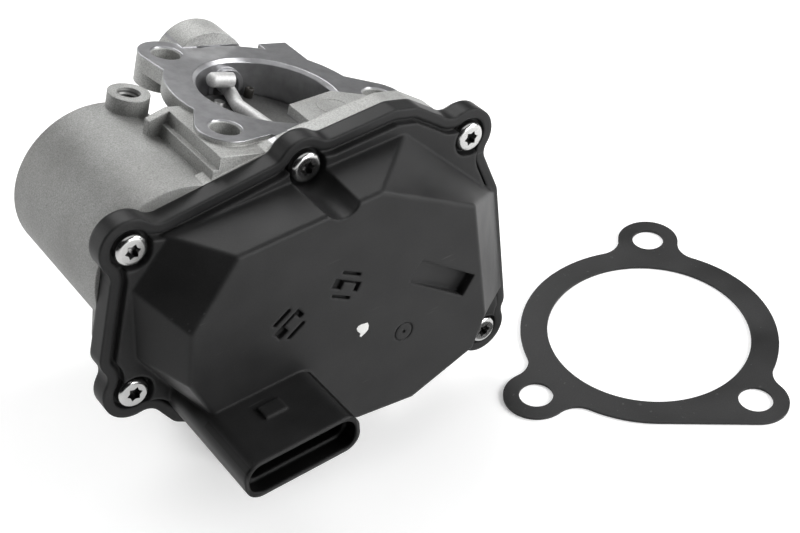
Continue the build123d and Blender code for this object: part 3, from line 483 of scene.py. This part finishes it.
def makeCasting():
    paint, tree, shader, bump = newFinish("castAluminium", casting)
    place = addPlace(tree)
    cut = placeGroup(tree, "machined", place)
    # the skin is paler round the flange: gain = ramp along X times ramp along Z
    x, y, z = addAxes(tree, place)
    pale = addMath(tree, "MULTIPLY", addRange(tree, x, *casting["paleX"]),
                   addRange(tree, z, *casting["paleZ"]))
    gain = addMath(tree, "MULTIPLY_ADD", pale, casting["paleGain"] - 1.0, 1.0)
    skin = addGain(tree, sourceOf(shader.inputs["Base Color"]), gain)
    # machined places are smoother, all of one colour
    brushed = placeGroup(tree, "grain", place, **{"Grain Scale": casting["brushFineness"]})
    metal = addBlend(tree, addRange(tree, brushed["Height"], *noiseSpan),
                     casting["machinedDark"], casting["machinedLight"])
    tree.links.new(addBlend(tree, cut["Mask"], skin, metal), shader.inputs["Base Color"])
    shine = addRange(tree, cut["Mask"], 0.0, 1.0, casting["metallic"], casting["machinedMetal"])
    tree.links.new(shine, shader.inputs["Metallic"])
    soft = tree.nodes.new("ShaderNodeMix")
    tree.links.new(cut["Mask"], soft.inputs[0])
    tree.links.new(sourceOf(shader.inputs["Roughness"]), soft.inputs[2])
    soft.inputs[3].default_value = casting["machinedRough"]
    tree.links.new(soft.outputs[0], shader.inputs["Roughness"])
    # the cast skin's grain gives way to the cutter's rings where metal was cut
    skinShare = addMath(tree, "MAXIMUM", addMath(tree, "SUBTRACT", 1.0, cut["Mask"]),
                        casting["machinedGrain"])
    grain = addMath(tree, "MULTIPLY", sourceOf(bump.inputs["Height"]), skinShare)
    rings = addMath(tree, "MULTIPLY", cut["Rings"], cut["Mask"])
    height = addMath(tree, "MULTIPLY_ADD", rings, casting["ringHeight"], grain)
    tree.links.new(height, bump.inputs["Height"])
    return paint


# Connector socket: painted shade, the moulding is made near black inside, where the socket lies in
# shadow
socket = {"centreX": -30.5 * mm, "centreZ": 51.0 * mm, "halfWidth": 17.35 * mm,
          "halfHeight": 5.35 * mm, "behind": -60.0 * mm, "colour": (0.0015, 0.0015, 0.0015)}


def makeCoverPlasticWithSocketShade():
    # painted shade mask = within the socket's half width and half height of its centre, and in
    # front of its floor
    paint, tree, shader, bump = newFinish("coverPlastic", finishes["coverPlastic"])
    x, y, z = addAxes(tree, addPlace(tree))
    across = addMath(tree, "ABSOLUTE", addMath(tree, "SUBTRACT", x, socket["centreX"]))
    along = addMath(tree, "ABSOLUTE", addMath(tree, "SUBTRACT", z, socket["centreZ"]))
    inside = addMath(tree, "MULTIPLY", addMath(tree, "LESS_THAN", across, socket["halfWidth"]),
                     addMath(tree, "LESS_THAN", along, socket["halfHeight"]))
    inside = addMath(tree, "MULTIPLY", inside, addMath(tree, "LESS_THAN", y, socket["behind"]))
    # painted shade: the base colour turns near black inside the socket
    base = sourceOf(shader.inputs["Base Color"])
    tree.links.new(addBlend(tree, inside, base, socket["colour"]), shader.inputs["Base Color"])
    return paint


# Cover screws: painted shade, the star recess is made dark inside, where it lies in shadow.
# Centres are in x and z, in mm
screws = {"centres": ((-51.5, 106.0), (2.2, 108.4), (58.0, 94.6), (-58.6, 59.4), (62.9, 16.3)),
          "recessRadius": 2.5 * mm, "recessTop": -41.1 * mm, "recessShadeColour": (0.22, 0.22, 0.22)}


def makeScrewSteelWithRecessShade():
    # painted shade mask = nearer than the recess radius to a screw's axis, and behind the head's
    # front
    paint, tree, shader, bump = newFinish("screwSteel", finishes["screwSteel"])
    x, y, z = addAxes(tree, addPlace(tree))
    squares = []
    for centreX, centreZ in screws["centres"]:
        across = addMath(tree, "SUBTRACT", x, centreX * mm)
        along = addMath(tree, "SUBTRACT", z, centreZ * mm)
        squares.append(addMath(tree, "ADD", addMath(tree, "MULTIPLY", across, across),
                               addMath(tree, "MULTIPLY", along, along)))
    nearest = squares[0]
    for square in squares[1:]:
        nearest = addMath(tree, "MINIMUM", nearest, square)
    inside = addMath(tree, "LESS_THAN", nearest, screws["recessRadius"] ** 2)
    behind = addMath(tree, "GREATER_THAN", y, screws["recessTop"])
    recessShadeMask = addMath(tree, "MULTIPLY", inside, behind)
    # painted shade: the recess takes a dark colour in place of its shadow
    base = sourceOf(shader.inputs["Base Color"])
    tree.links.new(addBlend(tree, recessShadeMask, base, screws["recessShadeColour"]),
                   shader.inputs["Base Color"])
    return paint


# New pieces: grids of points made as whole arrays
def gridFaces(rows, columns, wrapRows):
    # a face joins a point to its neighbours on the right, upper right and above
    low, left = np.meshgrid(np.arange(rows if wrapRows else rows - 1), np.arange(columns),
                            indexing="ij")
    high, right = (low + 1) % rows, (left + 1) % columns
    corners = (low * columns + left, low * columns + right,
               high * columns + right, high * columns + left)
    return np.stack(corners, axis=-1).reshape(-1, 4)


def newPiece(name, grid, paint, body, wrapRows=False):
    # columns always close round; the first and last rows get a cap unless the rows close too
    rows, columns = grid.shape[:2]
    faces = gridFaces(rows, columns, wrapRows).tolist()
    if not wrapRows:
        faces.append(list(range(columns)))
        faces.append(list(range((rows - 1) * columns, rows * columns)))
    mesh = bpy.data.meshes.new(name)
    mesh.from_pydata(grid.reshape(-1, 3).tolist(), [], faces)
    work = bmesh.new()
    work.from_mesh(mesh)
    bmesh.ops.recalc_face_normals(work, faces=work.faces)
    for face in work.faces:
        face.smooth = len(face.verts) == 4
    work.to_mesh(mesh)
    work.free()
    mesh.materials.append(paint)
    piece = bpy.data.objects.new(name, mesh)
    bpy.context.scene.collection.objects.link(piece)
    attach(piece, body)


def circleSteps(count):
    return np.linspace(0.0, fullTurn, count, endpoint=False)


def onFlange(x, y, z):
    # a point of the outlet flange's own frame: centre + x across + y back + z along its axis
    turn, lift = math.cos(outlet["tilt"]), math.sin(outlet["tilt"])
    centre = outlet["centre"]
    return np.stack([centre[0] + x * turn + z * lift, centre[1] + y,
                     centre[2] - x * lift + z * turn], axis=-1)


# Dab of white marking paint on the cover's face. Its outline is in x and z, in mm
paintSpot = {"outline": ((3.0, 62.6), (3.6, 63.2), (4.7, 63.3), (6.9, 62.8), (7.2, 61.6),
                         (6.9, 60.2), (6.0, 59.5), (4.4, 58.7), (3.9, 59.1), (4.1, 60.2),
                         (3.3, 61.4)),
             "face": -59.5 * mm, "thick": 0.09 * mm, "sunk": 0.2 * mm, "points": 66,
             "shrink": (1.0, 1.0, 0.985, 0.95, 0.85, 0.6, 0.3, 0.04)}


def makePaintSpot(paint):
    # a flat blob: rings of the outline shrunk towards its middle,
    # height = thickness times root of 1 - shrink^4, and the first ring is sunk in the cover
    corners = np.array(paintSpot["outline"]) * mm
    middle = corners.mean(axis=0)
    place = np.linspace(0.0, len(corners), paintSpot["points"], endpoint=False)
    loop = np.vstack([corners, corners[:1]])
    ring = np.stack([np.interp(place, np.arange(len(loop)), loop[:, k]) for k in (0, 1)], axis=-1)
    shrink = np.array(paintSpot["shrink"])
    height = paintSpot["thick"] * np.sqrt(1.0 - shrink ** 4)
    height[0] = -paintSpot["sunk"]
    flat = middle + (ring[None] - middle) * shrink[:, None, None]
    depth = np.broadcast_to((paintSpot["face"] - height)[:, None], flat.shape[:2])
    grid = np.stack([flat[..., 0], depth, flat[..., 1]], axis=-1)
    newPiece("paintSpot", grid, paint, "valve")


# Round mark of an ejector pin on the flange's front pad, in the flange's frame
ejectorMark = {"centre": (9.7 * mm, -19.9 * mm), "radius": 5.2 * mm, "width": 0.32 * mm,
               "rise": 0.22 * mm, "padTop": 3.0 * mm, "sunk": 0.2 * mm,
               "aroundPoints": 72, "acrossPoints": 9}


def makeEjectorMark(paint):
    # a raised ring: a half oval profile, closed below the pad, carried round a circle
    radius, width, top = ejectorMark["radius"], ejectorMark["width"], ejectorMark["padTop"]
    around = circleSteps(ejectorMark["aroundPoints"])
    across = np.linspace(0.0, math.pi, ejectorMark["acrossPoints"])
    reach = np.append(radius + width * np.cos(across), [radius - width, radius + width])
    height = np.append(top + ejectorMark["rise"] * np.sin(across), [top - ejectorMark["sunk"]] * 2)
    x = ejectorMark["centre"][0] + reach[:, None] * np.cos(around)
    y = ejectorMark["centre"][1] + reach[:, None] * np.sin(around)
    grid = onFlange(x, y, np.broadcast_to(height[:, None], x.shape))
    newPiece("ejectorMark", grid, paint, "valve", wrapRows=True)


# Thread in the small boss behind the motor barrel, in the flange's frame
bossThread = {"centre": (-38.5 * mm, 12.6 * mm), "radius": 3.38 * mm, "depth": 0.5 * mm,
              "pitch": 1.25 * mm, "wall": 0.02 * mm, "top": -4.6 * mm, "bottom": -12.6 * mm,
              "aroundPoints": 48, "levels": 90}


def makeBossThread(paint):
    # a threaded sleeve: reach = radius less the depth times a triangle wave of height over
    # pitch less turn, which fades in below the top
    top, bottom = bossThread["top"], bossThread["bottom"]
    around = circleSteps(bossThread["aroundPoints"])
    height = np.linspace(top, bottom, bossThread["levels"])[:, None]
    phase = height / bossThread["pitch"] - around / fullTurn
    wave = np.abs(2.0 * (phase - np.floor(phase)) - 1.0)
    fade = np.clip((top - height) / bossThread["pitch"], 0.0, 1.0)
    inner = bossThread["radius"] - bossThread["depth"] * wave * fade - bossThread["wall"]
    reach = np.vstack([inner, np.full((2, around.size), bossThread["radius"])])
    level = np.vstack([np.broadcast_to(height, inner.shape),
                       np.full((1, around.size), bottom), np.full((1, around.size), top)])
    x = bossThread["centre"][0] + reach * np.cos(around)
    y = bossThread["centre"][1] + reach * np.sin(around)
    newPiece("bossThread", onFlange(x, y, level), paint, "valve", wrapRows=True)


# Small dark capped pin that stands on the flap plate near its back edge. Its profile is in
# reach and height, in mm
platePin = {"foot": (17.05 * mm, 17.3 * mm, 95.8 * mm), "axis": (0.367, 0.0, 0.93),
            "profile": ((0.1, -0.3), (1.45, -0.3), (1.45, 2.2), (1.38, 2.75), (1.15, 3.0),
                        (0.75, 3.0), (0.62, 2.9), (0.6, 2.0), (0.1, 2.0)),
            "aroundPoints": 32}


def makePlatePin(paint):
    # a profile of reach and height turned about the pin's axis
    reach, height = np.array(platePin["profile"]).T * mm
    around = circleSteps(platePin["aroundPoints"])
    up = np.array(platePin["axis"]) / np.linalg.norm(platePin["axis"])
    back = np.array((0.0, 1.0, 0.0))
    side = np.cross(back, up)
    spokes = np.cos(around)[:, None] * side + np.sin(around)[:, None] * back
    grid = (np.array(platePin["foot"]) + height[:, None, None] * up
            + reach[:, None, None] * spokes)
    newPiece("platePin", grid, paint, "flap")


def dress(frame):
    special = {"castAluminium": makeCasting, "screwSteel": makeScrewSteelWithRecessShade,
               "coverPlastic": makeCoverPlasticWithSocketShade}
    paints = {name: newFinish(name, look)[0] for name, look in finishes.items()
              if name not in special}
    paints.update({name: make() for name, make in special.items()})
    for name, node in frame["nodes"].items():
        node.data.materials.clear()
        node.data.materials.append(paints[nodeFinish.get(name, "castAluminium")])
    return paints


def main():
    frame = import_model()
    print("stage: frame loaded")
    setCamera()
    setStudio()
    print("stage: studio set")
    groups["grain"] = makeGrainGroup()
    groups["specks"] = makeSpeckGroup()
    groups["scratches"] = makeScratchGroup()
    groups["machined"] = makeMachinedGroup()
    paints = dress(frame)
    print("stage: finishes set")
    makePaintSpot(paints["whitePaint"])
    makeEjectorMark(paints["castAluminium"])
    makeBossThread(paints["greyBush"])
    makePlatePin(paints["darkCap"])
    print("stage: small pieces made")


main()
